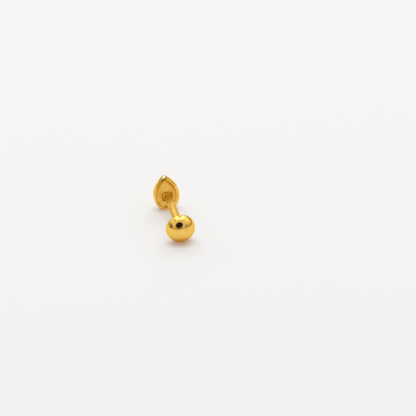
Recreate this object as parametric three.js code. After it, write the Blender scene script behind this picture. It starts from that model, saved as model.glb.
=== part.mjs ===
// A gold stud earring with a screw back, as it rests on a table.
// Millimetres, +Z up. The post runs along Y: the pear-shaped head is at +Y, the screw dome at -Y.
// The origin is the centre of the base of the bounding box, so the table is the plane z = 0.
import * as THREE from 'three';
import { mergeVertices } from 'three/addons/utils/BufferGeometryUtils.js';

const DEGREE = Math.PI / 180;
const WELD_DISTANCE = 1e-4;

// The stud as a whole.
const AXIS_HEIGHT = 1.96; // the post's axis above the table
const LOBE_SPACE = 7.7; // from the dome's flat face to the rim of the head, where the ear lobe goes
const FIT_GAP = 0.03; // left between pieces that touch on the real stud

// The pear outline of the head. It is drawn from the middle of its widest line.
const PEAR = {
  halfWidth: 1.78,
  below: 2.36, // to the bottom of the full curve, which the worn flat cuts back to the table
  belowPower: 2.2, // 2 would make half an ellipse, more a squarer curve
  above: 3.05, // to the point where the two flanks would meet
  flankPower: 2, // 1 would make straight flanks, 2 a parabola
  tipRadius: 0.34,
  smallestTipRadius: 0.03,
  lean: 5.8 * DEGREE, // the tip leans a little to the left
  offAxis: -0.176, // the widest line's middle, from the post's axis: to the left of it,
  aboveAxis: 0.31, // and above it
  sides: 72,
};

// The cup of the head, by depth behind the top of its rim. The rim is a rolled bead, rounder at the tip.
const CUP = {
  depth: 0.8,
  floor: 0.46,
  rimWidth: 0.38,
  crest: 0.19, // how far in the rim's crest lies, along the round bottom
  rise: 0.12, // how deep the rim's rounded sides reach there
  tipCrest: 0.28, // the same two at the tip
  tipRise: 0.46,
  shoulderRadius: 0.1,
  crown: 0.42, // the rise of the plain front
  outerSteps: 5,
  innerSteps: 3,
  shoulderSteps: 3,
  crownSteps: 6,
};

const POST = {
  radius: 0.55,
  solderRadius: 0.06, // the fillet of solder round its root
  solderSteps: 3,
  tipChamfer: 0.12,
};

// The inlay in the back of the cup, by depth behind the top of the rim.
const PLATE = {
  ledge: 0.13, // the flat step outside its bead, which is the floor of the groove
  ledgeDepth: 0.24,
  beadRadius: 0.07,
  beadTop: 0.12,
  beadSteps: 4,
  fieldDepth: 0.2,
  fieldDish: 0.03, // how much deeper the field is at the opening
  flutes: 40,
  fluteHeight: 0.05,
  openingOffAxis: -0.08, // the post stands a little right of the opening's middle
  openingHalfWidth: 0.72,
  openingHalfHeight: 0.64,
  openingPower: 5, // 2 would be round, a large number square
  openingEdge: 0.05,
};

const DOME = {
  radius: AXIS_HEIGHT,
  capHeight: 1.54,
  band: 0.1, // the straight side between the cap and the rounded edge
  edgeRadius: 0.16,
  capSteps: 12,
  edgeSteps: 4,
  boreDepth: 1.3,
  boreCone: 0.15,
  boreChamfer: 0.1,
  runningGap: 0.05, // round the post, so that the dome turns freely
  sides: 48,
};
const BORE_END_GAP = 0.12;

// Stations along Y.
const DOME_HEIGHT = DOME.capHeight + DOME.band + DOME.edgeRadius;
const LENGTH = DOME_HEIGHT + LOBE_SPACE + CUP.depth + CUP.crown;
const DOME_CROWN_Y = -LENGTH / 2;
const DOME_FACE_Y = DOME_CROWN_Y + DOME_HEIGHT;
const RIM_Y = DOME_FACE_Y + LOBE_SPACE;
const POST_TIP_Y = DOME_FACE_Y - DOME.boreDepth + BORE_END_GAP;

// The right half runs from the tip (share 0) over the flank to the bottom (share 1).
const TIP_SHARE = 0.06;
const FLANK_SHARE = 0.5;

// The pear outline, drawn in by `inset`, as a closed curve of (x, z) round the middle of its widest line.
class PearOutline extends THREE.Curve {
  constructor(inset) {
    super();
    const tipSlope = (PEAR.flankPower * PEAR.halfWidth) / PEAR.above;
    this.halfWidth = PEAR.halfWidth - inset;
    this.below = PEAR.below - inset;
    this.above = PEAR.above - inset / Math.sin(Math.atan(tipSlope));
    this.tipRadius = Math.max(PEAR.tipRadius - inset, PEAR.smallestTipRadius);
    this.setTip();
  }

  flankX(z) {
    return this.halfWidth * (1 - (z / this.above) ** PEAR.flankPower);
  }

  // The angle of the flank from the vertical.
  flankAngle(z) {
    const slope = (PEAR.flankPower * this.halfWidth * (z / this.above) ** (PEAR.flankPower - 1)) / this.above;
    return Math.atan(slope);
  }

  // Finds where the tip's small arc leaves the flank, by halving.
  setTip() {
    let low = this.above / 2;
    let high = this.above;
    for (let step = 0; step < 40; step += 1) {
      const z = (low + high) / 2;
      const radius = this.flankX(z) / Math.cos(this.flankAngle(z));
      if (radius > this.tipRadius) low = z;
      else high = z;
    }
    this.tipZ = low;
    this.tipTurn = Math.PI / 2 - this.flankAngle(low);
    this.tipCentre = low - this.tipRadius * Math.cos(this.tipTurn);
  }

  rightHalf(share) {
    if (share < TIP_SHARE) {
      const turn = (share / TIP_SHARE) * this.tipTurn;
      return [this.tipRadius * Math.sin(turn), this.tipCentre + this.tipRadius * Math.cos(turn)];
    }
    if (share < FLANK_SHARE) {
      const z = (this.tipZ * (FLANK_SHARE - share)) / (FLANK_SHARE - TIP_SHARE);
      return [this.flankX(z), z];
    }
    const angle = ((share - FLANK_SHARE) / (1 - FLANK_SHARE)) * (Math.PI / 2);
    const power = 2 / PEAR.belowPower;
    return [this.halfWidth * Math.max(Math.cos(angle), 0) ** power, -this.below * Math.sin(angle) ** power];
  }

  getPoint(t, target = new THREE.Vector2()) {
    const right = t <= 0.5;
    const [x, z] = this.rightHalf(right ? 2 * t : 2 - 2 * t);
    return target.set(right ? x : -x, z);
  }
}

const FULL_OUTLINE = new PearOutline(0);

// Evenly spaced places along the outline, the first at the tip.
function outlinePlaces(count) {
  return Array.from({ length: count }, (_, i) => FULL_OUTLINE.getUtoTmapping(i / count));
}

// Leans a point of the pear outline and sets it on the head, measured from the post's axis.
function onHead(point, scale = 1) {
  const centre = new THREE.Vector2(PEAR.offAxis, PEAR.aboveAxis);
  return point.clone().multiplyScalar(scale).rotateAround(new THREE.Vector2(), PEAR.lean).add(centre);
}

// The head's points never go below the table, which cuts the small worn flat.
function pearPoint(outline, t, y, scale = 1) {
  const point = onHead(outline.getPoint(t), scale);
  return new THREE.Vector3(point.x, y, Math.max(point.y + AXIS_HEIGHT, 0));
}

function pearRing(places, inset, y, scale = 1) {
  const outline = new PearOutline(inset);
  return places.map((t) => pearPoint(outline, t, y, scale));
}

// A round ring whose points lie in the same directions from the axis as the pear's.
function polarRing(places, radius, y) {
  return places.map((t) => {
    const angle = onHead(FULL_OUTLINE.getPoint(t)).angle();
    return new THREE.Vector3(radius * Math.cos(angle), y, AXIS_HEIGHT + radius * Math.sin(angle));
  });
}

// The pocket's opening is a square with round corners, grown by `grown`, and leans with the head.
// Its points lie in the same directions from its own middle as the pear's.
function openingRing(places, grown, y) {
  const power = PLATE.openingPower;
  const middle = new THREE.Vector2(PLATE.openingOffAxis, 0);
  return places.map((t) => {
    const angle = onHead(FULL_OUTLINE.getPoint(t)).sub(middle).angle() - PEAR.lean;
    const across = Math.abs(Math.cos(angle)) / (PLATE.openingHalfWidth + grown);
    const upwards = Math.abs(Math.sin(angle)) / (PLATE.openingHalfHeight + grown);
    const radius = (across ** power + upwards ** power) ** (-1 / power);
    const x = middle.x + radius * Math.cos(angle + PEAR.lean);
    return new THREE.Vector3(x, y, AXIS_HEIGHT + radius * Math.sin(angle + PEAR.lean));
  });
}

// Skins a row of equal rings, each running clockwise as seen from -Y, in the order from +Y round to -Y.
// With poles, the first and last ring close to a point on the axis. Without, the last ring meets the first.
function loft(rings, poles) {
  const count = rings[0].length;
  const points = rings.flat();
  const triangles = [];
  const bands = poles ? rings.length - 1 : rings.length;
  for (let band = 0; band < bands; band += 1) {
    const near = band * count;
    const far = ((band + 1) % rings.length) * count;
    for (let i = 0; i < count; i += 1) {
      const next = (i + 1) % count;
      triangles.push(near + i, far + i, near + next, near + next, far + i, far + next);
    }
  }
  if (poles) {
    const first = points.push(poles[0]) - 1;
    const last = points.push(poles[1]) - 1;
    const lastRing = (rings.length - 1) * count;
    for (let i = 0; i < count; i += 1) {
      const next = (i + 1) % count;
      triangles.push(first, i, next);
      triangles.push(last, lastRing + next, lastRing + i);
    }
  }
  const geometry = new THREE.BufferGeometry().setFromPoints(points);
  geometry.setIndex(triangles);
  return mergeVertices(geometry, WELD_DISTANCE);
}

function axisPoint(y) {
  return new THREE.Vector3(0, y, AXIS_HEIGHT);
}

// Even steps from 0 to 1, without the 0.
function steps(count) {
  return Array.from({ length: count }, (_, i) => (i + 1) / count);
}

// The rim's form at each place: it goes over from that of the round bottom to that of the tip.
function rimForms(places) {
  return places.map((t) => {
    const share = THREE.MathUtils.smoothstep(FULL_OUTLINE.getPoint(t).y, 0, PEAR.above);
    return {
      crest: THREE.MathUtils.lerp(CUP.crest, CUP.tipCrest, share),
      rise: THREE.MathUtils.lerp(CUP.rise, CUP.tipRise, share),
    };
  });
}

// The rim's rings, from its outer side over the crest to its inner side.
function makeRim(places) {
  const forms = rimForms(places);
  const ring = (insetOf, depthOf) =>
    places.map((t, i) => pearPoint(new PearOutline(insetOf(forms[i])), t, RIM_Y + depthOf(forms[i])));
  const outer = [0, ...steps(CUP.outerSteps)].map((share) => {
    const angle = (share * Math.PI) / 2;
    return ring(({ crest }) => crest * (1 - Math.cos(angle)), ({ rise }) => rise * (1 - Math.sin(angle)));
  });
  const inner = steps(CUP.innerSteps).map((share) => {
    const angle = (share * Math.PI) / 2;
    return ring(
      ({ crest }) => crest + (CUP.rimWidth - crest) * Math.sin(angle),
      () => CUP.rise * (1 - Math.cos(angle)),
    );
  });
  return [...outer, ...inner];
}

// The cup with its rim and plain front, and the post soldered to its floor.
function makePearHead() {
  const places = outlinePlaces(PEAR.sides);
  const frontY = RIM_Y + CUP.depth;
  const floorY = RIM_Y + CUP.floor;
  const rings = [];

  for (const share of steps(CUP.crownSteps)) {
    rings.push(pearRing(places, CUP.shoulderRadius, frontY + CUP.crown * (1 - share ** 2), share));
  }
  for (const share of steps(CUP.shoulderSteps)) {
    const angle = (share * Math.PI) / 2;
    const inset = CUP.shoulderRadius * (1 - Math.sin(angle));
    rings.push(pearRing(places, inset, frontY - CUP.shoulderRadius * (1 - Math.cos(angle))));
  }
  rings.push(...makeRim(places));
  rings.push(pearRing(places, CUP.rimWidth, floorY));

  for (const share of [0, ...steps(POST.solderSteps)]) {
    const angle = (share * Math.PI) / 2;
    const radius = POST.radius + POST.solderRadius * (1 - Math.sin(angle));
    rings.push(polarRing(places, radius, floorY - POST.solderRadius * (1 - Math.cos(angle))));
  }
  rings.push(polarRing(places, POST.radius, POST_TIP_Y + POST.tipChamfer));
  rings.push(polarRing(places, POST.radius - POST.tipChamfer, POST_TIP_Y));
  return loft(rings, [axisPoint(frontY + CUP.crown), axisPoint(POST_TIP_Y)]);
}

// The inlay in the back of the cup. Every second point of a fluted ring lies on the crest of a flute.
function makeBackPlate() {
  const places = outlinePlaces(2 * PLATE.flutes);
  const wallInset = CUP.rimWidth + FIT_GAP;
  const beadInset = wallInset + PLATE.ledge;
  const fieldInset = beadInset + 2 * PLATE.beadRadius;
  const bottomY = RIM_Y + CUP.floor - FIT_GAP;
  const ledgeY = RIM_Y + PLATE.ledgeDepth;
  const fieldY = RIM_Y + PLATE.fieldDepth;
  const edgeY = fieldY + PLATE.fieldDish;
  const rings = [];

  const raised = (ring, height) => {
    for (let i = 0; i < ring.length; i += 2) ring[i].y -= height;
    return ring;
  };

  rings.push(openingRing(places, 0, bottomY));
  rings.push(pearRing(places, wallInset, bottomY));
  rings.push(pearRing(places, wallInset, ledgeY));
  rings.push(pearRing(places, beadInset, ledgeY));
  for (const share of [0, ...steps(PLATE.beadSteps)]) {
    const angle = share * Math.PI;
    const inset = beadInset + PLATE.beadRadius * (1 - Math.cos(angle));
    const beadY = RIM_Y + PLATE.beadTop + PLATE.beadRadius * (1 - Math.sin(angle));
    rings.push(pearRing(places, inset, beadY));
  }
  rings.push(raised(pearRing(places, fieldInset + PLATE.fluteHeight, fieldY), PLATE.fluteHeight));
  rings.push(raised(openingRing(places, 2 * PLATE.openingEdge, edgeY), PLATE.fluteHeight));
  rings.push(openingRing(places, PLATE.openingEdge, edgeY));
  rings.push(openingRing(places, 0, edgeY + PLATE.openingEdge));
  return loft(rings, null);
}

// The screw back: half a flattened ball, a short straight band, a rounded edge and a flat face with a blind bore.
function makeScrewDome() {
  const boreRadius = POST.radius + DOME.runningGap;
  const boreEnd = DOME_HEIGHT - DOME.boreDepth;
  const profile = [];

  for (const share of [0, ...steps(DOME.capSteps)]) {
    const angle = (share * Math.PI) / 2;
    profile.push([DOME.radius * Math.sin(angle), DOME.capHeight * (1 - Math.cos(angle))]);
  }
  for (const share of [0, ...steps(DOME.edgeSteps)]) {
    const angle = (share * Math.PI) / 2;
    profile.push([
      DOME.radius - DOME.edgeRadius * (1 - Math.cos(angle)),
      DOME.capHeight + DOME.band + DOME.edgeRadius * Math.sin(angle),
    ]);
  }
  profile.push([boreRadius + DOME.boreChamfer, DOME_HEIGHT]);
  profile.push([boreRadius, DOME_HEIGHT - DOME.boreChamfer]);
  profile.push([boreRadius, boreEnd]);
  profile.push([0, boreEnd - DOME.boreCone]);

  // The polygon is circumscribed, and turned to lie on one of its flats, so that it keeps its radius there.
  const grown = 1 / Math.cos(Math.PI / DOME.sides);
  const points = profile.map(([radius, depth]) => new THREE.Vector2(radius * grown, depth));
  const geometry = new THREE.LatheGeometry(points, DOME.sides);
  geometry.rotateY(Math.PI / DOME.sides);
  geometry.deleteAttribute('normal');
  geometry.deleteAttribute('uv');
  return mergeVertices(geometry, WELD_DISTANCE);
}

const gold = new THREE.MeshStandardMaterial({ color: 0xe6b24a, roughness: 0.12, metalness: 1 });
const darkGold = new THREE.MeshStandardMaterial({ color: 0xc98f22, roughness: 0.3, metalness: 1 });

const pearHead = new THREE.Mesh(makePearHead(), gold);
pearHead.name = 'pear_head';

const backPlate = new THREE.Mesh(makeBackPlate(), darkGold);
backPlate.name = 'back_plate';

const screwDome = new THREE.Mesh(makeScrewDome(), gold);
screwDome.name = 'screw_dome';
screwDome.position.set(0, DOME_CROWN_Y, AXIS_HEIGHT);

const group = new THREE.Group();
group.add(pearHead, backPlate, screwDome);

export default group;
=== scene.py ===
"""A gold stud earring with a screw back, standing unworn on a white table.

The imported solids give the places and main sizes. Each is dressed here with a finely made mesh of the same
form: the pear-shaped head with its post, the fluted inlay in the back of the head, and the screw dome.
Sizes are in millimetres, and become metres where a mesh, a light or the camera is made.
"""
import logging
import math
from dataclasses import dataclass, field
from enum import Enum
from typing import Optional, Sequence

import bmesh
import bpy
import numpy as np
from mathutils import Matrix, Vector


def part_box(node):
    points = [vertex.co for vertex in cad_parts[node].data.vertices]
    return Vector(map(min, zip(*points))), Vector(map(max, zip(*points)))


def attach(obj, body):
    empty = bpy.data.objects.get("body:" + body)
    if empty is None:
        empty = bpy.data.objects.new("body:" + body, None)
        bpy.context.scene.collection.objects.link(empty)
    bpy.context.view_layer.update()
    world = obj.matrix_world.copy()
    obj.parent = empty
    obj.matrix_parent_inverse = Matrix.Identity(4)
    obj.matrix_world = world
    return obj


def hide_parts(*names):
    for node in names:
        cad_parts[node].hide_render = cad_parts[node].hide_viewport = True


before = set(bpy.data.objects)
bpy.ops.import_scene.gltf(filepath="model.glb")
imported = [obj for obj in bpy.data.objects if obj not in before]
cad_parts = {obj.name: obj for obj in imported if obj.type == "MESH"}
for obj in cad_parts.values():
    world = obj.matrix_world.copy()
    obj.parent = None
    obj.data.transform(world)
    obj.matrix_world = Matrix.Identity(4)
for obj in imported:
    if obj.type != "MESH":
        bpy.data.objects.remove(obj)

MM = 0.001
NEAR = 1e-3  # millimetres within which a face lies on a plane or on the post
OUTLINE_STEPS = 4000  # in which the head's outline is measured
HALVINGS = 40  # to find where the tip's arc leaves the flank
Ring = np.ndarray
Shade = tuple[float, float, float]
LOG = logging.getLogger("stud_earring")


class Body(Enum):
    """The rigid bodies of the stud."""

    STUD = "stud"
    SCREW_BACK = "screw_back"


class Slot(Enum):
    """The record's material slots."""

    POLISHED = "polished_gold"
    FLUTED = "fluted_gold"


def millimetres(node: str) -> tuple[np.ndarray, np.ndarray]:
    """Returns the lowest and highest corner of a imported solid, in millimetres."""
    low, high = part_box(node)
    return np.array(low) / MM, np.array(high) / MM


# ---------------------------------------------------------------------------------------------------------
# Finishes


class NodeTree:
    """A node tree that is laid node by node."""

    def __init__(self, owner: bpy.types.Material | bpy.types.World) -> None:
        """Empties the tree of a material or a world.

        Args:
            owner: the material or world.
        """
        owner.use_nodes = True
        self.tree = owner.node_tree
        self.tree.nodes.clear()

    def node(self, kind: str, **values: object) -> bpy.types.Node:
        """Adds a node.

        Args:
            kind: Blender's name for the kind of node.
            values: settings of the node, or with a capital first letter, values of its input sockets.

        Returns:
            The new node.
        """
        made = self.tree.nodes.new(kind)
        for name, value in values.items():
            if name[0].isupper():
                made.inputs[name.replace("_", " ")].default_value = value
            else:
                setattr(made, name, value)
        return made

    def link(
        self, source: bpy.types.Node, output: str, target: bpy.types.Node, socket: str | int
    ) -> None:
        """Joins an output of one node to an input of another."""
        self.tree.links.new(source.outputs[output], target.inputs[socket])

    def ranged(
        self, source: bpy.types.Node, output: str, ends: Sequence[float], curve: str = "LINEAR"
    ) -> bpy.types.Node:
        """Maps a value from one range to another.

        Args:
            source: the node that gives the value.
            output: its output.
            ends: the range it comes from and the range it goes to, as four numbers.
            curve: Blender's name for the way between.

        Returns:
            The mapping node.
        """
        made = self.node("ShaderNodeMapRange", clamp=True, interpolation_type=curve)
        for socket, value in zip(("From Min", "From Max", "To Min", "To Max"), ends):
            made.inputs[socket].default_value = value
        self.link(source, output, made, "Value")
        return made

    def maths(
        self, operation: str, source: bpy.types.Node, output: str, other: float | bpy.types.Node
    ) -> bpy.types.Node:
        """Works on a value with a number, or with the value of another node.

        Args:
            operation: Blender's name for the operation.
            source: the node that gives the value.
            output: its output.
            other: the number, or the node that gives it.

        Returns:
            The node that gives the result.
        """
        made = self.node("ShaderNodeMath", operation=operation)
        self.link(source, output, made, 0)
        if isinstance(other, bpy.types.Node):
            self.link(other, other.outputs[0].name, made, 1)
        else:
            made.inputs[1].default_value = other
        return made

    def mixed(self, share: bpy.types.Node, below: bpy.types.Node | Shade, above: Shade) -> bpy.types.Node:
        """Mixes two colours.

        Args:
            share: the node that gives the upper colour's share.
            below: the lower colour, or the node that mixed it.
            above: the upper colour.

        Returns:
            The mixing node, whose output is "Result".
        """
        made = self.node("ShaderNodeMix", data_type="RGBA")
        self.link(share, share.outputs[0].name, made, 0)
        colours = [socket for socket in made.inputs if socket.type == "RGBA"]
        colours[1].default_value = (*above, 1)
        if isinstance(below, bpy.types.Node):
            self.tree.links.new(self.colour(below), colours[0])
        else:
            colours[0].default_value = (*below, 1)
        return made

    @staticmethod
    def colour(node: bpy.types.Node) -> bpy.types.NodeSocket:
        """Returns a node's colour output."""
        return next(socket for socket in node.outputs if socket.type == "RGBA")


class ShaderTree(NodeTree):
    """A material's node tree, in millimetre coordinates."""

    def __init__(self, name: str) -> None:
        """Starts a new material with a Principled shader and an output.

        Args:
            name: the material's name.
        """
        self.material = bpy.data.materials.new(name)
        super().__init__(self.material)
        self.output = self.node("ShaderNodeOutputMaterial")
        self.shader = self.node("ShaderNodeBsdfPrincipled")
        self.link(self.shader, "BSDF", self.output, "Surface")
        place = self.node("ShaderNodeTexCoord")
        self.place = self.node("ShaderNodeMapping")
        self.place.inputs["Scale"].default_value = (1 / MM, 1 / MM, 1 / MM)
        self.link(place, "Object", self.place, "Vector")

    def stretched(self, scale: Sequence[float], turn: Sequence[float] = (0, 0, 0)) -> bpy.types.Node:
        """Turns and stretches the millimetre coordinates.

        Args:
            scale: the stretch along X, Y and Z.
            turn: the turn about them, in radians.

        Returns:
            The mapping node.
        """
        made = self.node("ShaderNodeMapping", vector_type="TEXTURE", Rotation=turn)
        made.inputs["Scale"].default_value = scale
        self.link(self.place, "Vector", made, "Vector")
        return made

    def noise(self, size: float, detail: float, place: Optional[bpy.types.Node] = None) -> bpy.types.Node:
        """Adds soft noise.

        Args:
            size: the size of its blotches, in millimetres.
            detail: how many finer layers it has.
            place: the coordinates it is laid in, or None for the plain ones.

        Returns:
            The noise node.
        """
        made = self.node("ShaderNodeTexNoise", Scale=1 / size, Detail=detail, Roughness=0.55)
        self.link(place or self.place, "Vector", made, "Vector")
        return made

    def bump(
        self, height: bpy.types.Node, output: str, depth: float, below: Optional[bpy.types.Node]
    ) -> bpy.types.Node:
        """Adds a layer of relief.

        Args:
            height: the node that gives the height, from 0 to 1.
            output: its output.
            depth: the height of 1, in millimetres.
            below: the layer under this one, or None.

        Returns:
            The bump node.
        """
        made = self.node("ShaderNodeBump", Strength=1.0, Distance=depth * MM)
        self.link(height, output, made, "Height")
        if below:
            self.link(below, "Normal", made, "Normal")
        return made


@dataclass(frozen=True)
class PaintedSpot:
    """A soft spot of colour laid into the finish: used as painted highlights, painted shade and painted dark
    reflections, and as darker spots in the inlay's groove.

    Attributes:
        middle: its middle, in millimetres.
        half_sizes: along its own X, Y and Z.
        shade: its tint.
        ragged: how far noise breaks its edge, in shares of its size.
        turn: how far it is turned about Y, clockwise as seen from the dome, in degrees.
    """

    middle: tuple[float, float, float]
    half_sizes: tuple[float, float, float]
    shade: Shade
    ragged: float = 0.4
    turn: float = 0.0


@dataclass(frozen=True)
class GoldFinish:
    """Yellow gold: its colour, its polish, and the hairlines and waves in it.

    Attributes:
        name: the material's name.
        tint: the colour that it reflects straight on, in linear light.
        warm: the redder tint of its faint clouds.
        cloud_size: their size, in millimetres.
        edge: the tint of its glancing reflections.
        gloss: the roughness where it is best and worst polished.
        smear_size: the width of the smears in the gloss.
        smear_stretch: how many times longer they are.
        smear_turn: their direction, as turns about X, Y and Z in radians.
        wave: the depth of the slow waves that polishing leaves.
        wave_size: their length.
        hairline: the depth of the hairlines.
        hairline_size: their width.
        hairline_stretch: how many times longer they are.
        grain: the depth of the fine grain.
        grain_size: its size.
        hairline_turns: the directions of the hairlines, as turns about X, Y and Z in degrees.
        painted_spots: the spots in it.
    """

    name: str
    tint: Shade = (0.99, 0.645, 0.152)
    warm: Shade = (0.94, 0.55, 0.105)
    cloud_size: float = 0.8
    edge: Shade = (0.97, 0.69, 0.2)
    gloss: tuple[float, float] = (0.04, 0.1)
    smear_size: float = 0.35
    smear_stretch: float = 2.5
    smear_turn: tuple[float, float, float] = (0.3, 0, 0.5)
    wave: float = 0.004
    wave_size: float = 0.9
    hairline: float = 0.0004
    hairline_size: float = 0.04
    hairline_stretch: float = 40
    grain: float = 0.0003
    grain_size: float = 0.02
    hairline_turns: tuple[tuple[float, float, float], ...] = ((20, 0, 35), (-35, 10, -50), (70, 30, 10))
    painted_spots: tuple[PaintedSpot, ...] = ()

    def material(self) -> bpy.types.Material:
        """Makes the finish.

        Returns:
            The new material.
        """
        laid = ShaderTree(self.name)
        laid.shader.inputs["Metallic"].default_value = 1.0
        laid.shader.inputs["Specular Tint"].default_value = (*self.edge, 1)
        self._colour(laid)
        self._polish(laid)
        self._relief(laid)
        return laid.material

    def _colour(self, laid: ShaderTree) -> None:
        """Clouds the tint, faintly, and lays the painted spots over it, most of them painted highlight and
        shade.

        Args:
            laid: the material's tree.
        """
        clouds = laid.noise(size=self.cloud_size, detail=3)
        share = laid.ranged(clouds, "Fac", (0.4, 0.7, 0.0, 1.0))
        mix = laid.mixed(share, self.tint, self.warm)
        for spot in self.painted_spots:
            mix = laid.mixed(self._spread(laid, spot), mix, spot.shade)
        laid.tree.links.new(laid.colour(mix), laid.shader.inputs["Base Color"])

    def _spread(self, laid: ShaderTree, spot: PaintedSpot) -> bpy.types.Node:
        """Spreads a painted spot out from its middle, full up to 0.4 of its size and gone at 1.2, with a
        torn edge.

        Args:
            laid: the material's tree.
            spot: the stain.

        Returns:
            The node that gives the stain's share at each point.
        """
        place = laid.node("ShaderNodeMapping", vector_type="TEXTURE")
        place.inputs["Location"].default_value = spot.middle
        place.inputs["Rotation"].default_value = (0, math.radians(spot.turn), 0)
        place.inputs["Scale"].default_value = spot.half_sizes
        laid.link(laid.place, "Vector", place, "Vector")
        far = laid.node("ShaderNodeVectorMath", operation="LENGTH")
        laid.link(place, "Vector", far, 0)
        rough = laid.noise(size=min(spot.half_sizes), detail=2)
        torn = laid.ranged(rough, "Fac", (0.3, 0.7, -spot.ragged, spot.ragged))
        edge = laid.maths("ADD", far, "Value", torn)
        return laid.ranged(edge, "Value", (0.4, 1.2, 1.0, 0.0), "SMOOTHSTEP")

    def _polish(self, laid: ShaderTree) -> None:
        """Smears the gloss, as fingers and cloths leave it.

        Args:
            laid: the material's tree.
        """
        place = laid.stretched((1, self.smear_stretch, 1), self.smear_turn)
        smears = laid.noise(size=self.smear_size, detail=5, place=place)
        rough = laid.ranged(smears, "Fac", (0.35, 0.7, *self.gloss))
        laid.link(rough, "Result", laid.shader, "Roughness")

    def _relief(self, laid: ShaderTree) -> None:
        """Adds the waves, the hairlines and the grain, one on another.

        Args:
            laid: the material's tree.
        """
        waves = laid.noise(size=self.wave_size, detail=1)
        layer = laid.bump(waves, "Fac", self.wave, None)
        for turn in self.hairline_turns:
            angles = tuple(math.radians(angle) for angle in turn)
            place = laid.stretched((1, self.hairline_stretch, 1), angles)
            lines = laid.noise(size=self.hairline_size, detail=2, place=place)
            sharp = laid.ranged(lines, "Fac", (0.6, 0.75, 1.0, 0.0))
            layer = laid.bump(sharp, "Result", self.hairline, layer)
        grain = laid.noise(size=self.grain_size, detail=2)
        layer = laid.bump(grain, "Fac", self.grain, layer)
        laid.link(layer, "Normal", laid.shader, "Normal")


def head_finish() -> GoldFinish:
    """Gives the finish of the rim, the side wall and the front.

    Returns:
        Polished gold, with a painted dark reflection beside the tip, and a painted highlight on the tip.
    """
    return GoldFinish(
        "polished_gold_head",
        tint=(0.99, 0.645, 0.125),
        edge=(0.97, 0.69, 0.15),
        painted_spots=(
            # Painted highlight: a paler tint on the tip stands in for its bright reflection.
            PaintedSpot((-0.52, 4.5, 5.1), (0.45, 0.6, 0.35), (1.0, 0.8, 0.38), ragged=0.1),
            # Painted dark reflection: a near-black streak beside the tip, where the rim would mirror the
            # dark lens.
            PaintedSpot((-0.55, 4.2, 4.86), (0.55, 0.5, 0.17), (0.05, 0.025, 0.005), ragged=0.15, turn=-38),
        ),
    )


def pocket_finish() -> GoldFinish:
    """Gives the finish of the cup's floor and its solder.

    Returns:
        Unpolished gold, with a deeper tint that paints the darker, redder light bounced about in the recess.
    """
    return GoldFinish(
        "cast_gold_pocket",
        # Painted bounced light and shade: this tint is deeper than the rest of the gold's.
        tint=(1.0, 0.64, 0.075),
        warm=(0.98, 0.58, 0.05),
        gloss=(0.4, 0.5),
    )


def post_finish() -> GoldFinish:
    """Gives the finish of the post.

    Returns:
        Drawn gold, half bright, paler a little way from the root by a painted highlight, and deeper at the
        root by painted shade.
    """
    return GoldFinish(
        "drawn_gold_post",
        tint=(0.88, 0.59, 0.165),
        warm=(0.85, 0.54, 0.13),
        gloss=(0.26, 0.34),
        painted_spots=(
            # Painted highlight: a paler tint a little way from the root.
            PaintedSpot((0, 2.2, 1.96), (1.2, 1.3, 1.2), (1.0, 0.76, 0.28), ragged=0.1),
            # Painted shade: the pocket's deep tint carried onto the post's root.
            PaintedSpot((0, 4.6, 1.96), (1.5, 1.9, 1.5), (1.0, 0.64, 0.075), ragged=0.1),
        ),
    )


def plate_finish() -> GoldFinish:
    """Gives the finish of the inlay.

    Returns:
        Struck gold, half bright, with two darker spots in the groove.
    """
    return GoldFinish(
        "fluted_gold_plate",
        tint=(1.0, 0.68, 0.16),
        warm=(1.0, 0.62, 0.12),
        gloss=(0.35, 0.45),
        hairline=0.001,
        painted_spots=(
            PaintedSpot((-1.38, 4.3, 1.1), (0.2, 0.5, 0.2), (0.7, 0.4, 0.06)),
            PaintedSpot((-0.3, 4.3, 0.42), (0.16, 0.5, 0.25), (0.6, 0.34, 0.05)),
        ),
    )


# ---------------------------------------------------------------------------------------------------------
# Meshes


class Skin:
    """A closed mesh lofted through equal rings of points.

    Each ring runs clockwise as seen from the dome, and the rings follow each other from the head's front
    round to the dome's side. With poles, the first and last ring close to a point. Without, the last ring
    meets the first.
    """

    def __init__(self) -> None:
        """Starts with no ring."""
        self.rings: list[Ring] = []

    def add(self, ring: Ring) -> None:
        """Adds the next ring, an array of points in millimetres."""
        self.rings.append(ring)

    def build(self, name: str, poles: Optional[tuple[Ring, Ring]]) -> bpy.types.Object:
        """Makes the mesh.

        Args:
            name: the new object's name.
            poles: the first and last point, or None where the rings close on themselves.

        Returns:
            The new object, in the scene.
        """
        count = len(self.rings[0])
        mesh = bmesh.new()
        rows = [[mesh.verts.new(point * MM) for point in ring] for ring in self.rings]
        bands = list(zip(rows, rows[1:] if poles else rows[1:] + rows[:1]))
        for near, far in bands:
            for i in range(count):
                following = (i + 1) % count
                mesh.faces.new((near[i], far[i], far[following], near[following]))
        if poles:
            first = mesh.verts.new(poles[0] * MM)
            last = mesh.verts.new(poles[1] * MM)
            for i in range(count):
                following = (i + 1) % count
                mesh.faces.new((first, rows[0][i], rows[0][following]))
                mesh.faces.new((last, rows[-1][following], rows[-1][i]))
        for face in mesh.faces:
            face.smooth = True
        data = bpy.data.meshes.new(name)
        mesh.to_mesh(data)
        mesh.free()
        made = bpy.data.objects.new(name, data)
        bpy.context.scene.collection.objects.link(made)
        return made


def shares(count: int, first: bool = True) -> np.ndarray:
    """Returns even steps from 0 to 1, with or without the 0."""
    return np.linspace(0, 1, count + 1)[0 if first else 1 :]


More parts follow.
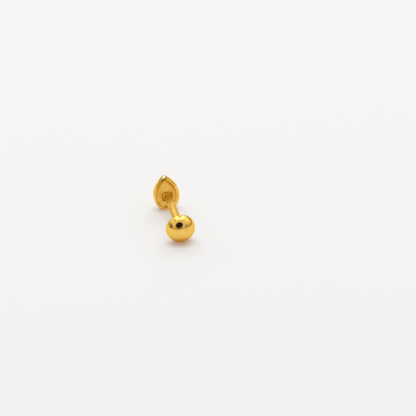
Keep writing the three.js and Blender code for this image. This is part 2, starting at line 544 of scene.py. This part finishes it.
@dataclass
class PearOutline:
    """The outline of the head: a round bottom, and two flanks to a tip.

    It is drawn from the middle of its widest line.

    Attributes:
        axis_height: the post's axis above the table, where the worn flat cuts the curve.
        half_width: from the middle to either side.
        below: from the middle to the bottom of the full curve.
        below_power: 2 would make half an ellipse, more a squarer curve.
        above: from the middle to the point where the flanks would meet.
        flank_power: 1 would make straight flanks, 2 a parabola.
        tip_radius: of the small arc at the tip.
        smallest_tip_radius: what is left of it where the outline is drawn in.
        lean: the angle at which the head stands, its tip to the left, in degrees.
        off_axis: the middle, from the post's axis, to the right.
        drift: how far the middle moves to the right for each millimetre that the outline is drawn in, as
            the cup is handmade.
        above_axis: the middle, from the post's axis, upwards.
        tip_share: the share of the outline's half that the tip's arc takes.
        flank_share: the share up to which the flank runs.
        places: where along the outline its points lie, from 0 at the tip, clockwise, to 1.
    """

    axis_height: float
    half_width: float = 1.78
    below: float = 2.36
    below_power: float = 2.2
    above: float = 3.05
    flank_power: float = 2.0
    tip_radius: float = 0.34
    smallest_tip_radius: float = 0.03
    lean: float = 5.8
    off_axis: float = -0.176
    drift: float = -0.25
    above_axis: float = 0.31
    tip_share: float = 0.06
    flank_share: float = 0.5
    places: np.ndarray = field(default_factory=lambda: np.zeros(0))

    def spread(self, count: int) -> None:
        """Spreads the points evenly along the full outline.

        Args:
            count: how many points a ring has.
        """
        fine = np.linspace(0, 1, OUTLINE_STEPS + 1)
        x, z = self.flat(fine, 0.0)
        length = np.concatenate(([0], np.cumsum(np.hypot(np.diff(x), np.diff(z)))))
        self.places = np.interp(np.arange(count) * length[-1] / count, length, fine)

    def flank(self, z: np.ndarray, half_width: float, above: float) -> np.ndarray:
        """Returns how far the flank is from the middle line at a height above the axis."""
        return half_width * (1 - (z / above) ** self.flank_power)

    def flank_angle(self, z: np.ndarray, half_width: np.ndarray, above: np.ndarray) -> np.ndarray:
        """Returns the flank's angle from the vertical at a height above the axis."""
        return np.arctan(self.flank_power * half_width * (z / above) ** (self.flank_power - 1) / above)

    def tip(
        self, half_width: np.ndarray, above: np.ndarray, radius: np.ndarray
    ) -> tuple[np.ndarray, np.ndarray]:
        """Finds the tip's small arc by halving.

        Args:
            half_width: the outline's half width.
            above: the height at which its flanks would meet.
            radius: the arc's radius.

        Returns:
            The height at which the arc leaves the flank, and half the angle of the arc.
        """
        low, high = above / 2, above
        for _ in range(HALVINGS):
            middle = (low + high) / 2
            across = self.flank(middle, half_width, above)
            outside = across / np.cos(self.flank_angle(middle, half_width, above)) > radius
            low, high = np.where(outside, middle, low), np.where(outside, high, middle)
        return low, math.pi / 2 - self.flank_angle(low, half_width, above)

    def flat(self, places: np.ndarray, inset: float | np.ndarray) -> tuple[np.ndarray, np.ndarray]:
        """Gives the outline's points before the head leans.

        Args:
            places: where along the outline they lie.
            inset: how far the outline is drawn in.

        Returns:
            The points' distances from the middle line, to the right, and above the axis.
        """
        half_width = self.half_width - inset
        meeting = self.flank_angle(self.above, self.half_width, self.above)
        above = self.above - inset / np.sin(meeting)
        below = self.below - inset
        radius = np.maximum(self.tip_radius - inset, self.smallest_tip_radius)
        tip_z, tip_turn = self.tip(half_width, above, radius)
        centre = tip_z - radius * np.cos(tip_turn)
        share = np.where(places <= 0.5, 2 * places, 2 - 2 * places)
        turn = np.clip(share / self.tip_share, 0, 1) * tip_turn
        flank_z = tip_z * np.clip((self.flank_share - share) / (self.flank_share - self.tip_share), 0, 1)
        angle = np.clip((share - self.flank_share) / (1 - self.flank_share), 0, 1) * math.pi / 2
        on_tip, on_flank = share < self.tip_share, share < self.flank_share
        power = 2 / self.below_power
        x = np.select([on_tip, on_flank], [radius * np.sin(turn), self.flank(flank_z, half_width, above)],
                      half_width * np.maximum(np.cos(angle), 0) ** power)
        z = np.select([on_tip, on_flank], [centre + radius * np.cos(turn), flank_z],
                      -below * np.sin(angle) ** power)
        return np.where(places <= 0.5, x, -x), z

    def leant(self, inset: float, scale: float = 1.0) -> tuple[np.ndarray, np.ndarray]:
        """Gives the outline's points as the head leans.

        Args:
            inset: how far the outline is drawn in.
            scale: its scale about the middle.

        Returns:
            The points' distances from the post's axis, to the right and upwards.
        """
        x, z = self.flat(self.places, inset)
        lean = math.radians(self.lean)
        right = self.off_axis + self.drift * inset + scale * (x * math.cos(lean) - z * math.sin(lean))
        return right, self.above_axis + scale * (x * math.sin(lean) + z * math.cos(lean))

    def ring(self, inset: float, y: float | np.ndarray, scale: float = 1.0) -> Ring:
        """Returns the outline as a ring, drawn in by `inset`, scaled, and cut by the worn flat."""
        x, z = self.leant(inset, scale)
        return np.stack((x, np.broadcast_to(y, x.shape), np.maximum(z + self.axis_height, 0)), axis=1)

    def blend(self, bottom: float, tip: float) -> np.ndarray:
        """Returns, for each place, a value that goes over from `bottom` along the round part to `tip`."""
        share = np.clip(self.flat(self.places, 0.0)[1] / self.above, 0, 1)
        return bottom + (tip - bottom) * share * share * (3 - 2 * share)

    def directions(self) -> np.ndarray:
        """Returns the angle of each point about the post's axis, from the right and up."""
        x, z = self.leant(0.0)
        return np.arctan2(z, x)

    def polar(self, radius: float | np.ndarray, y: float | np.ndarray) -> Ring:
        """Gives a round ring whose points lie in the same directions as the outline's.

        Args:
            radius: from the post's axis.
            y: its station along the post.

        Returns:
            The ring.
        """
        angle = self.directions()
        z = self.axis_height + radius * np.sin(angle)
        return np.stack((radius * np.cos(angle), np.broadcast_to(y, angle.shape), z), axis=1)


@dataclass
class Opening:
    """The opening of the inlay round the post: a leaning square with round corners.

    Attributes:
        off_axis: its middle, from the post's axis, to the right.
        half_width: from its middle to either side.
        half_height: from its middle upwards and downwards.
        power: 2 would make it round, a large number square.
    """

    off_axis: float = -0.08
    half_width: float = 0.72
    half_height: float = 0.64
    power: float = 5.0

    def ring(self, outline: PearOutline, grown: float, y: float) -> Ring:
        """Gives the opening's edge, with its points in the same directions as the outline's.

        Args:
            outline: the pear outline.
            grown: how much larger the opening is made on every side.
            y: its station along the post.

        Returns:
            The ring.
        """
        x, z = outline.leant(0.0)
        lean = math.radians(outline.lean)
        angle = np.arctan2(z, x - self.off_axis) - lean
        across = np.abs(np.cos(angle)) / (self.half_width + grown)
        upwards = np.abs(np.sin(angle)) / (self.half_height + grown)
        radius = (across**self.power + upwards**self.power) ** (-1 / self.power)
        right = self.off_axis + radius * np.cos(angle + lean)
        above = outline.axis_height + radius * np.sin(angle + lean)
        return np.stack((right, np.full_like(right, y), above), axis=1)


@dataclass
class Cup:
    """The cup of the head, by depth behind the top of its rim.

    Attributes:
        depth: from the rim to the edge of the front.
        floor: of the cup.
        rim_width: across the rolled rim.
        crest: how far in the rim's crest lies, along the round bottom.
        rise: how deep the rim's rounded sides reach there.
        tip_crest: the same as crest, at the tip.
        tip_rise: the same as rise, at the tip, for the outer side.
        tip_width: the same as rim_width, at the tip.
        shoulder_radius: of the rounded edge of the front.
        crown: the rise of the plain front.
    """

    depth: float = 0.8
    floor: float = 0.46
    rim_width: float = 0.38
    crest: float = 0.19
    rise: float = 0.12
    tip_crest: float = 0.2
    tip_rise: float = 0.46
    tip_width: float = 0.28
    shoulder_radius: float = 0.1
    crown: float = 0.42


@dataclass
class PearHead:
    """The pear-shaped cup with its rolled rim and plain front, and the post soldered to its floor.

    Attributes:
        finish: of the rim, the side wall and the front.
        pocket_finish: of the cup's floor and the solder on it.
        post_finish: of the post.
        cup: the sizes of the cup.
        opening: the opening of the inlay, which the solder fills.
        post_radius: of the post.
        solder_gap: between the solder and the opening's edge.
        solder_height: how far the solder climbs the post.
        solder_reach: how far round the post its finish reaches, in half widths of the opening.
        post_chamfer: of the post's end.
        sides: how many points a ring has.
        crown_steps: how many rings make the crowned front.
        shoulder_steps: how many make its rounded edge.
        wall_steps: how many parts the side wall has.
        outer_steps: how many steps make the rim's outer side.
        inner_steps: how many make its inner side.
        inside_steps: how many make the inside wall.
        solder_steps: how many make the solder.
        post_steps: how many make the post.
    """

    finish: GoldFinish
    pocket_finish: GoldFinish
    post_finish: GoldFinish
    cup: Cup = field(default_factory=Cup)
    opening: Opening = field(default_factory=Opening)
    post_radius: float = 0.55
    solder_gap: float = 0.02
    solder_height: float = 0.2
    solder_reach: float = 1.5
    post_chamfer: float = 0.12
    sides: int = 360
    crown_steps: int = 24
    shoulder_steps: int = 8
    wall_steps: int = 6
    outer_steps: int = 12
    inner_steps: int = 10
    inside_steps: int = 5
    solder_steps: int = 10
    post_steps: int = 24

    def __post_init__(self) -> None:
        """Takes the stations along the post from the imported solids."""
        low, high = millimetres("pear_head")
        dome_low, dome_high = millimetres("screw_dome")
        self.axis_height = float(dome_low[2] + dome_high[2]) / 2
        self.front_y = float(high[1]) - self.cup.crown
        self.rim_y = self.front_y - self.cup.depth
        self.post_end_y = float(low[1])
        self.outline = PearOutline(axis_height=self.axis_height)

    def build(self) -> bpy.types.Object:
        """Makes the head and dresses it.

        Returns:
            The head, riding on the stud.
        """
        self.outline.spread(self.sides)
        skin = Skin()
        self._front(skin)
        self._rim(skin)
        self._post(skin)
        poles = (self._axis(self.front_y + self.cup.crown), self._axis(self.post_end_y))
        head = skin.build("pear_head_gold", poles)
        for finish in (self.finish, self.pocket_finish, self.post_finish):
            head.data.materials.append(finish.material())
        self._finish_faces(head)
        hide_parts("pear_head")
        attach(head, Body.STUD.value)
        return head

    def _finish_faces(self, head: bpy.types.Object) -> None:
        """Gives the cup's floor and the post their own finishes.

        Args:
            head: the head.
        """
        floor_y = self.rim_y + self.cup.floor
        root_y = floor_y - self.solder_height
        solder_reach = self.solder_reach * self.opening.half_width
        for face in head.data.polygons:
            x, y, z = face.center / MM
            around = math.hypot(x, z - self.axis_height)
            if around < self.post_radius + NEAR and y < root_y:
                face.material_index = 2
            elif abs(y - floor_y) < NEAR or (around < solder_reach and y < floor_y):
                face.material_index = 1

    def _axis(self, y: float) -> Ring:
        """Returns the point of the post's axis at a station."""
        return np.array((0.0, y, self.axis_height))

    def _front(self, skin: Skin) -> None:
        """Adds the crowned front, its rounded shoulder and the side wall.

        Args:
            skin: the head so far.
        """
        cup = self.cup
        for share in shares(self.crown_steps, first=False):
            crown_y = self.front_y + cup.crown * (1 - share**2)
            skin.add(self.outline.ring(cup.shoulder_radius, crown_y, share))
        for share in shares(self.shoulder_steps, first=False):
            angle = share * math.pi / 2
            depth = cup.shoulder_radius * (1 - math.cos(angle))
            skin.add(self.outline.ring(cup.shoulder_radius * (1 - math.sin(angle)), self.front_y - depth))
        shoulder_y = self.front_y - cup.shoulder_radius
        rim_y = self.rim_y + self.outline.blend(cup.rise, cup.tip_rise)
        for share in shares(self.wall_steps, first=False)[:-1]:
            skin.add(self.outline.ring(0.0, shoulder_y + (rim_y - shoulder_y) * share))

    def _rim(self, skin: Skin) -> None:
        """Adds the rolled rim and the inside wall of the cup.

        Args:
            skin: the head so far.
        """
        cup = self.cup
        crest = self.outline.blend(cup.crest, cup.tip_crest)
        rise = self.outline.blend(cup.rise, cup.tip_rise)
        width = self.outline.blend(cup.rim_width, cup.tip_width)
        for angle in shares(self.outer_steps) * math.pi / 2:
            inset = crest * (1 - math.cos(angle))
            skin.add(self.outline.ring(inset, self.rim_y + rise * (1 - math.sin(angle))))
        for angle in shares(self.inner_steps, first=False) * math.pi / 2:
            depth = cup.rise * (1 - math.cos(angle))
            skin.add(self.outline.ring(crest + (width - crest) * math.sin(angle), self.rim_y + depth))
        floor_y = self.rim_y + cup.floor
        inside_y = self.rim_y + cup.rise
        for share in shares(self.inside_steps, first=False):
            skin.add(self.outline.ring(width, inside_y + (floor_y - inside_y) * share))

    def _post(self, skin: Skin) -> None:
        """Adds the solder in the opening, the post and its chamfered end.

        Args:
            skin: the head so far.
        """
        floor_y = self.rim_y + self.cup.floor
        root_y = floor_y - self.solder_height
        edge = self.opening.ring(self.outline, -self.solder_gap, floor_y)
        root = self.outline.polar(self.post_radius, root_y)
        for share in shares(self.solder_steps):
            ring = edge + (root - edge) * share
            ring[:, 1] = floor_y - self.solder_height * math.sin(share * math.pi / 2)
            skin.add(ring)
        end_y = self.post_end_y + self.post_chamfer
        for share in shares(self.post_steps, first=False):
            skin.add(self.outline.polar(self.post_radius, root_y + (end_y - root_y) * share))
        skin.add(self.outline.polar(self.post_radius - self.post_chamfer, self.post_end_y))


@dataclass
class BackPlate:
    """The inlay in the back of the cup, with its bead, its radial flutes and its rounded square opening.

    Depths are taken from the top of the rim.

    Attributes:
        head: the head it lies in.
        finish: of the whole inlay.
        gap: between the inlay and the cup.
        ledge: the width of the groove's floor, along the round bottom.
        tip_ledge: the same, at the tip.
        ledge_depth: how deep the groove's floor lies, along the round bottom.
        tip_ledge_depth: the same, at the tip.
        bead_radius: of the bead.
        bead_top: how deep its top lies.
        field_depth: how deep the fluted field lies at the bead.
        field_dish: how much deeper it lies at the opening.
        flutes: how many there are.
        flute_height: of a flute.
        flute_run: how much sooner than at the opening the flutes run out, as a factor.
        flute_fullness: under 1 keeps them high towards both ends.
        opening_edge: the radius of the opening's rounded edge.
        points_per_flute: how many points of a ring lie on each.
        wall_steps: how many steps make the side of the inlay.
        bead_steps: how many make the bead.
        field_steps: how many make the field.
        edge_steps: how many make the opening's edge.
    """

    head: PearHead
    finish: GoldFinish
    gap: float = 0.004
    ledge: float = 0.05
    tip_ledge: float = 0.16
    ledge_depth: float = 0.17
    tip_ledge_depth: float = 0.26
    bead_radius: float = 0.07
    bead_top: float = 0.12
    field_depth: float = 0.2
    field_dish: float = 0.03
    flutes: int = 40
    flute_height: float = 0.022
    flute_run: float = 1.02
    flute_fullness: float = 0.4
    opening_edge: float = 0.05
    points_per_flute: int = 12
    wall_steps: int = 4
    bead_steps: int = 12
    field_steps: int = 24
    edge_steps: int = 6

    def build(self) -> bpy.types.Object:
        """Makes the inlay and dresses it.

        Returns:
            The inlay, riding on the stud.
        """
        outline = PearOutline(axis_height=self.head.axis_height)
        outline.spread(self.flutes * self.points_per_flute)
        skin = Skin()
        rim_y, cup = self.head.rim_y, self.head.cup
        wall = outline.blend(cup.rim_width, cup.tip_width) + self.gap
        bead = wall + outline.blend(self.ledge, self.tip_ledge)
        bottom_y = rim_y + cup.floor - self.gap
        ledge_y = rim_y + outline.blend(self.ledge_depth, self.tip_ledge_depth)
        skin.add(self.head.opening.ring(outline, 0.0, bottom_y))
        for share in shares(self.wall_steps):
            skin.add(outline.ring(wall, bottom_y + (ledge_y - bottom_y) * share))
        skin.add(outline.ring(bead, ledge_y))
        for share in shares(self.bead_steps):
            turn = share * math.pi
            inset = bead + self.bead_radius * (1 - math.cos(turn))
            bead_y = rim_y + self.bead_top + self.bead_radius * (1 - math.sin(turn))
            skin.add(outline.ring(inset, bead_y))
        self._field(skin, outline, bead + 2 * self.bead_radius)
        plate = skin.build("back_plate_gold", None)
        plate.data.materials.append(self.finish.material())
        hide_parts("back_plate")
        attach(plate, Body.STUD.value)
        return plate

    def _field(self, skin: Skin, outline: PearOutline, inset: np.ndarray) -> None:
        """Adds the fluted field, from the bead to the opening and down its rounded edge.

        Args:
            skin: the inlay so far.
            outline: the pear outline.
            inset: where the field starts.
        """
        count = len(outline.places)
        flute = 0.5 + 0.5 * np.cos(2 * math.pi * np.arange(count) / self.points_per_flute)
        outer = outline.ring(inset, self.head.rim_y + self.field_depth)
        edge_y = self.head.rim_y + self.field_depth + self.field_dish
        inner = self.head.opening.ring(outline, self.opening_edge, edge_y)
        for share in shares(self.field_steps, first=False):
            ring = outer + (inner - outer) * share
            swell = math.sin(math.pi * min(1.0, share * self.flute_run))
            height = self.flute_height * swell**self.flute_fullness
            ring[:, 1] -= height * flute
            skin.add(ring)
        for share in shares(self.edge_steps, first=False):
            turn = share * math.pi / 2
            grown = self.opening_edge * (1 - math.sin(turn))
            inside_y = edge_y + self.opening_edge * (1 - math.cos(turn))
            skin.add(self.head.opening.ring(outline, grown, inside_y))


@dataclass
class ScrewDome:
    """The screw back: a polished cap with a rounded edge, a flat face to the ear and a blind bore.

    Attributes:
        head: the head whose post it is on.
        finish: of the whole dome.
        band: the straight side between the cap and the rounded edge.
        edge_radius: of the rounded edge.
        bore_depth: from the flat face to the end of the bore's side.
        bore_cone: how much deeper the bore's middle is.
        bore_chamfer: of the bore's mouth.
        running_gap: between the bore and the post.
        sides: how many points a ring has.
        cap_steps: how many steps make the cap.
        edge_steps: how many make the rounded edge.
        face_places: where rings lie on the flat face, from its edge to the bore's mouth.
        chamfer_steps: how many steps make the chamfer.
        bore_steps: how many make the bore.
    """

    head: PearHead
    finish: GoldFinish
    band: float = 0.1
    edge_radius: float = 0.16
    bore_depth: float = 1.3
    bore_cone: float = 0.15
    bore_chamfer: float = 0.1
    running_gap: float = 0.05
    sides: int = 256
    cap_steps: int = 64
    edge_steps: int = 12
    face_places: tuple[float, ...] = (0.03, 0.2, 0.4, 0.6, 0.8, 0.97)
    chamfer_steps: int = 4
    bore_steps: int = 6

    def build(self) -> bpy.types.Object:
        """Makes the dome and dresses it.

        Returns:
            The dome, riding on the screw back.
        """
        low, high = millimetres("screw_dome")
        crown_y = float(low[1])
        profile = self._profile(float(high[2] - low[2]) / 2, float(high[1] - low[1]))
        skin = Skin()
        turn = 2 * math.pi * np.arange(self.sides) / self.sides
        for around, depth in reversed(profile[1:-1]):
            x = around * np.sin(turn)
            z = self.head.axis_height + around * np.cos(turn)
            skin.add(np.stack((x, np.full(self.sides, crown_y + depth), z), axis=1))
        bore_end = np.array((0.0, crown_y + profile[-1][1], self.head.axis_height))
        crown = np.array((0.0, crown_y + profile[0][1], self.head.axis_height))
        dome = skin.build("screw_dome_gold", (bore_end, crown))
        dome.data.materials.append(self.finish.material())
        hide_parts("screw_dome")
        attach(dome, Body.SCREW_BACK.value)
        return dome

    def _profile(self, radius: float, height: float) -> list[tuple[float, float]]:
        """Gives the dome's half section.

        Args:
            radius: the dome's greatest radius.
            height: from its crown to the flat face.

        Returns:
            Pairs of radius and depth behind the crown, from the crown to the end of the bore.
        """
        reach = radius - self.edge_radius
        cap_height = height - self.edge_radius - self.band
        bore = self.head.post_radius + self.running_gap
        bore_end = height - self.bore_depth
        profile = []
        for angle in shares(self.cap_steps) * math.pi / 2:
            profile.append((radius * math.sin(angle), cap_height * (1 - math.cos(angle))))
        for angle in shares(self.edge_steps) * math.pi / 2:
            around = reach + self.edge_radius * math.cos(angle)
            profile.append((around, height - self.edge_radius * (1 - math.sin(angle))))
        mouth = bore + self.bore_chamfer
        for share in self.face_places:
            profile.append((reach + (mouth - reach) * share, height))
        for share in shares(self.chamfer_steps):
            profile.append((mouth - self.bore_chamfer * share, height - self.bore_chamfer * share))
        start = height - self.bore_chamfer
        for share in shares(self.bore_steps, first=False):
            profile.append((bore, start + (bore_end - start) * share))
        profile.append((0.0, bore_end - self.bore_cone))
        return profile


# ---------------------------------------------------------------------------------------------------------
# Table, light and camera


def towards(azimuth: float, elevation: float) -> Vector:
    """Returns the direction at an azimuth, from the dome's side round to the right, and an elevation."""
    a, e = math.radians(azimuth), math.radians(elevation)
    return Vector((math.sin(a) * math.cos(e), -math.cos(a) * math.cos(e), math.sin(e)))


@dataclass
class Viewpoint:
    """The camera, and what it looks at.

    Attributes:
        axis_height: the post's axis above the table, at which it looks.
        azimuth: the camera's side, as `towards` takes it.
        elevation: the same.
        distance: from the stud.
        lens: its focal length.
        aside: how far it looks past the stud, to the right.
        above: how far it looks over it.
        farthest: the end of its view, in metres.
    """

    axis_height: float
    azimuth: float = -12.9
    elevation: float = 32.2
    distance: float = 250.0
    lens: float = 159.0
    aside: float = 4.562
    above: float = 0.691
    farthest: float = 10.0

    def back(self) -> Vector:
        """Returns the direction from the stud to the camera."""
        return towards(self.azimuth, self.elevation)

    def build(self) -> bpy.types.Object:
        """Places the camera and makes it the scene's.

        Returns:
            The camera.
        """
        back = self.back()
        turn = (-back).to_track_quat("-Z", "Y")
        target = Vector((0, 0, self.axis_height)) + turn @ Vector((self.aside, self.above, 0))
        data = bpy.data.cameras.new("camera")
        data.lens = self.lens
        data.clip_start = MM
        data.clip_end = self.farthest
        camera = bpy.data.objects.new("camera", data)
        camera.location = (target + back * self.distance) * MM
        camera.rotation_mode = "QUATERNION"
        camera.rotation_quaternion = turn
        bpy.context.scene.collection.objects.link(camera)
        bpy.context.scene.camera = camera
        return camera


@dataclass(frozen=True)
class Patch:
    """A soft-edged patch of the surroundings.

    Attributes:
        azimuth: its middle, as `towards` takes it.
        elevation: the same.
        half_width: in degrees, under 90.
        half_height: in degrees, under 90.
        shade: its colour, in linear light.
        softness: the share of its size over which its edge fades.
        turn: how far it is turned anticlockwise, as seen from the stud.
    """

    azimuth: float
    elevation: float
    half_width: float
    half_height: float
    shade: Shade
    softness: float = 0.3
    turn: float = 0.0

    def frame(self) -> tuple[Vector, Vector, Vector]:
        """Gives the patch's own directions.

        Returns:
            Its right, its up, and the direction of its middle.
        """
        middle = towards(self.azimuth, self.elevation)
        right = towards(self.azimuth - 90, 0)
        up = middle.cross(right) * -1
        turn = math.radians(self.turn)
        turned_right = right * math.cos(turn) + up * math.sin(turn)
        turned_up = up * math.cos(turn) - right * math.sin(turn)
        return turned_right, turned_up, middle


@dataclass
class Surroundings:
    """The pale tent round the table, with the dim strip at the horizon and the dark lens that looks in.

    Attributes:
        wall: the shade of its walls.
        seen: the plain shade that the camera itself sees.
        horizon: the shade of the dim strip.
        horizon_middle: the strip's elevation, in degrees.
        horizon_half_height: from its middle upwards and downwards.
        horizon_edge: where the strip's edge starts and ends to fade, in shares of that.
        patches: what hangs in the tent, each over the ones before it.
    """

    wall: Shade = (0.85, 0.85, 0.85)
    seen: Shade = (0.896, 0.896, 0.896)
    horizon: Shade = (0.32, 0.29, 0.25)
    horizon_middle: float = 5.5
    horizon_half_height: float = 6.0
    horizon_edge: tuple[float, float] = (0.4, 1.6)
    patches: Sequence[Patch] = (
        Patch(180, 34, 50, 24, (0.95, 0.95, 0.95), softness=0.5),
        Patch(180, 7, 50, 11, (0.5, 0.45, 0.38), softness=0.4),
        Patch(112, 46, 24, 18, (1.15, 1.15, 1.15), softness=0.4),
        Patch(-5, 33, 58, 26, (0.74, 0.7, 0.62), softness=0.4),
        Patch(-92, 14, 28, 15, (0.36, 0.32, 0.26), softness=0.4),
        Patch(-77, 12, 11, 10, (0.16, 0.11, 0.06), softness=0.5),
        Patch(-98, 57, 14, 6, (0.5, 0.45, 0.38), softness=0.5),
        Patch(42, 18, 15, 7, (0.45, 0.36, 0.25), softness=0.5),
        Patch(50, 57, 7, 4, (0.5, 0.45, 0.4), softness=0.5),
        Patch(125, 9, 24, 15, (0.42, 0.38, 0.3), softness=0.4),
        Patch(77, 3, 9, 14, (0.6, 0.33, 0.09), softness=0.4),
        Patch(-12.5, 33, 26, 26, (0.02, 0.015, 0.01), softness=0.2),
    )

    def build(self) -> None:
        """Makes the world, which the camera itself sees as plain white."""
        world = bpy.data.worlds.new("tent")
        laid = NodeTree(world)
        place = laid.node("ShaderNodeTexCoord")
        mix = laid.mixed(self._band(laid, place), self.wall, self.horizon)
        for patch in self.patches:
            mix = laid.mixed(self._share(laid, place, patch), mix, patch.shade)
        path = laid.node("ShaderNodeLightPath")
        mix = laid.mixed(path, mix, self.seen)
        background = laid.node("ShaderNodeBackground")
        laid.tree.links.new(laid.colour(mix), background.inputs["Color"])
        output = laid.node("ShaderNodeOutputWorld")
        laid.link(background, "Background", output, "Surface")
        bpy.context.scene.world = world

    def _band(self, laid: NodeTree, place: bpy.types.Node) -> bpy.types.Node:
        """Lays the dim strip at the horizon.

        Args:
            laid: the world's tree.
            place: the node that gives the direction.

        Returns:
            The node whose first output is the strip's share.
        """
        parts = laid.node("ShaderNodeSeparateXYZ")
        laid.link(place, "Generated", parts, "Vector")
        off = laid.maths("SUBTRACT", parts, "Z", math.sin(math.radians(self.horizon_middle)))
        size = laid.maths("ABSOLUTE", off, "Value", 0.0)
        half = math.sin(math.radians(self.horizon_half_height))
        start, end = (share * half for share in self.horizon_edge)
        return laid.ranged(size, "Value", (start, end, 1.0, 0.0), "SMOOTHSTEP")

    def _dot(self, laid: NodeTree, place: bpy.types.Node, direction: Vector) -> bpy.types.Node:
        """Measures how far each direction of the tent reaches along another one.

        Args:
            laid: the world's tree.
            place: the node that gives the direction.
            direction: the other direction.

        Returns:
            The node that gives the length.
        """
        made = laid.node("ShaderNodeVectorMath", operation="DOT_PRODUCT")
        laid.link(place, "Generated", made, 0)
        made.inputs[1].default_value = direction
        return made

    def _share(self, laid: NodeTree, place: bpy.types.Node, patch: Patch) -> bpy.types.Node:
        """Returns the share of one patch in each direction.

        Args:
            laid: the world's tree.
            place: the node that gives the direction.
            patch: the patch.

        Returns:
            The node whose first output is the share.
        """
        right, up, middle = patch.frame()
        sizes = [math.sin(math.radians(angle)) for angle in (patch.half_width, patch.half_height)]
        offs = laid.node("ShaderNodeCombineXYZ")
        for axis, size, socket in zip((right, up), sizes, ("X", "Y")):
            laid.link(self._dot(laid, place, axis / size), "Value", offs, socket)
        length = laid.node("ShaderNodeVectorMath", operation="LENGTH")
        laid.link(offs, "Vector", length, 0)
        fade = (1 - patch.softness, 1 + patch.softness, 1.0, 0.0)
        edge = laid.ranged(length, "Value", fade, "SMOOTHSTEP")
        facing = laid.maths("GREATER_THAN", self._dot(laid, place, middle), "Value", 0.0)
        return laid.maths("MULTIPLY", edge, "Result", facing)


@dataclass(frozen=True)
class Lamp:
    """A long lamp over the tent.

    Attributes:
        patch: its direction, half sizes and turn. Its shade's first number is its level, where white is 1.
        distance: from the stud, in millimetres.
    """

    patch: Patch
    distance: float = 300.0

    def build(self, number: int) -> None:
        """Hangs the lamp, facing the stud.

        Args:
            number: the lamp's number, for its name.
        """
        right, up, middle = self.patch.frame()
        halves = (self.patch.half_width, self.patch.half_height)
        width, height = (2 * self.distance * math.tan(math.radians(angle)) * MM for angle in halves)
        data = bpy.data.lights.new(f"lamp_{number}", "AREA")
        data.shape = "RECTANGLE"
        data.size, data.size_y = width, height
        data.energy = self.patch.shade[0] * math.pi * width * height
        lamp = bpy.data.objects.new(f"lamp_{number}", data)
        turn = Matrix((right * -1, up, middle)).transposed()
        lamp.matrix_world = Matrix.Translation(middle * self.distance * MM) @ turn.to_4x4()
        bpy.context.scene.collection.objects.link(lamp)


@dataclass
class Studio:
    """The white table, the tent round it and the lamps over it.

    Attributes:
        table_half_side: from the table's middle to its sides.
        white: the table's shade.
        table_roughness: its roughness.
        glow: how much light the table gives of itself, which keeps it as pale as the tent.
        contact: how near the gold has to be to dim that glow.
        contact_samples: in how many directions the gold is looked for.
        contact_shade: what is left of the glow where the gold touches the table, a painted contact shadow
            whose warm tint stands in for light bounced off the gold.
        surroundings: the tent.
        lamps: the lamps.
    """

    table_half_side: float = 2000.0
    white: float = 0.52
    table_roughness: float = 0.6
    glow: float = 0.335
    contact: float = 1.2
    contact_samples: int = 8
    contact_shade: Shade = (0.6, 0.22, 0.0)
    surroundings: Surroundings = field(default_factory=Surroundings)
    lamps: Sequence[Lamp] = (
        Lamp(Patch(180, 82, 24.5, 2.9, (7, 0, 0), turn=16)),
        Lamp(Patch(-162, 48, 5.5, 8, (5, 0, 0))),
        Lamp(Patch(143, 48, 4.4, 9.5, (5, 0, 0))),
    )

    def build(self) -> None:
        """Makes the whole studio."""
        bpy.context.scene.view_settings.view_transform = "Standard"
        self.surroundings.build()
        self._table()
        for number, lamp in enumerate(self.lamps, start=1):
            lamp.build(number)

    def _table(self) -> None:
        """Lays the white table under the stud, with a painted contact shadow in its glow."""
        laid = ShaderTree("white_table")
        laid.shader.inputs["Base Color"].default_value = (self.white, self.white, self.white, 1)
        laid.shader.inputs["Roughness"].default_value = self.table_roughness
        reach = self.contact * MM
        # Painted contact shadow: ambient occlusion dims the glow near the gold and warms it with
        # contact_shade.
        open_sky = laid.node("ShaderNodeAmbientOcclusion", samples=self.contact_samples, Distance=reach)
        share = laid.ranged(open_sky, "AO", (0.0, 1.0, 0.0, 1.0))
        glow = laid.mixed(share, self.contact_shade, (1, 1, 1))
        laid.tree.links.new(laid.colour(glow), laid.shader.inputs["Emission Color"])
        laid.shader.inputs["Emission Strength"].default_value = self.glow
        half = self.table_half_side * MM
        data = bpy.data.meshes.new("table")
        corners = [(-half, -half, 0), (half, -half, 0), (half, half, 0), (-half, half, 0)]
        data.from_pydata(corners, [], [(0, 1, 2, 3)])
        data.materials.append(laid.material)
        table = bpy.data.objects.new("table", data)
        bpy.context.scene.collection.objects.link(table)


# ---------------------------------------------------------------------------------------------------------


def main() -> None:
    """Builds the studio and the stud."""
    logging.basicConfig(level=logging.INFO, format="%(name)s: %(message)s")
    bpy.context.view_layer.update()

    head = PearHead(head_finish(), pocket_finish(), post_finish())
    Viewpoint(head.axis_height).build()
    Studio().build()
    LOG.info("camera, table and light are set")

    pieces = [
        head.build(),
        BackPlate(head, plate_finish()).build(),
        ScrewDome(head, GoldFinish("polished_gold_dome")).build(),
    ]
    for piece in pieces:
        LOG.info("%s: %d faces", piece.name, len(piece.data.polygons))


if __name__ == "__main__":
    main()
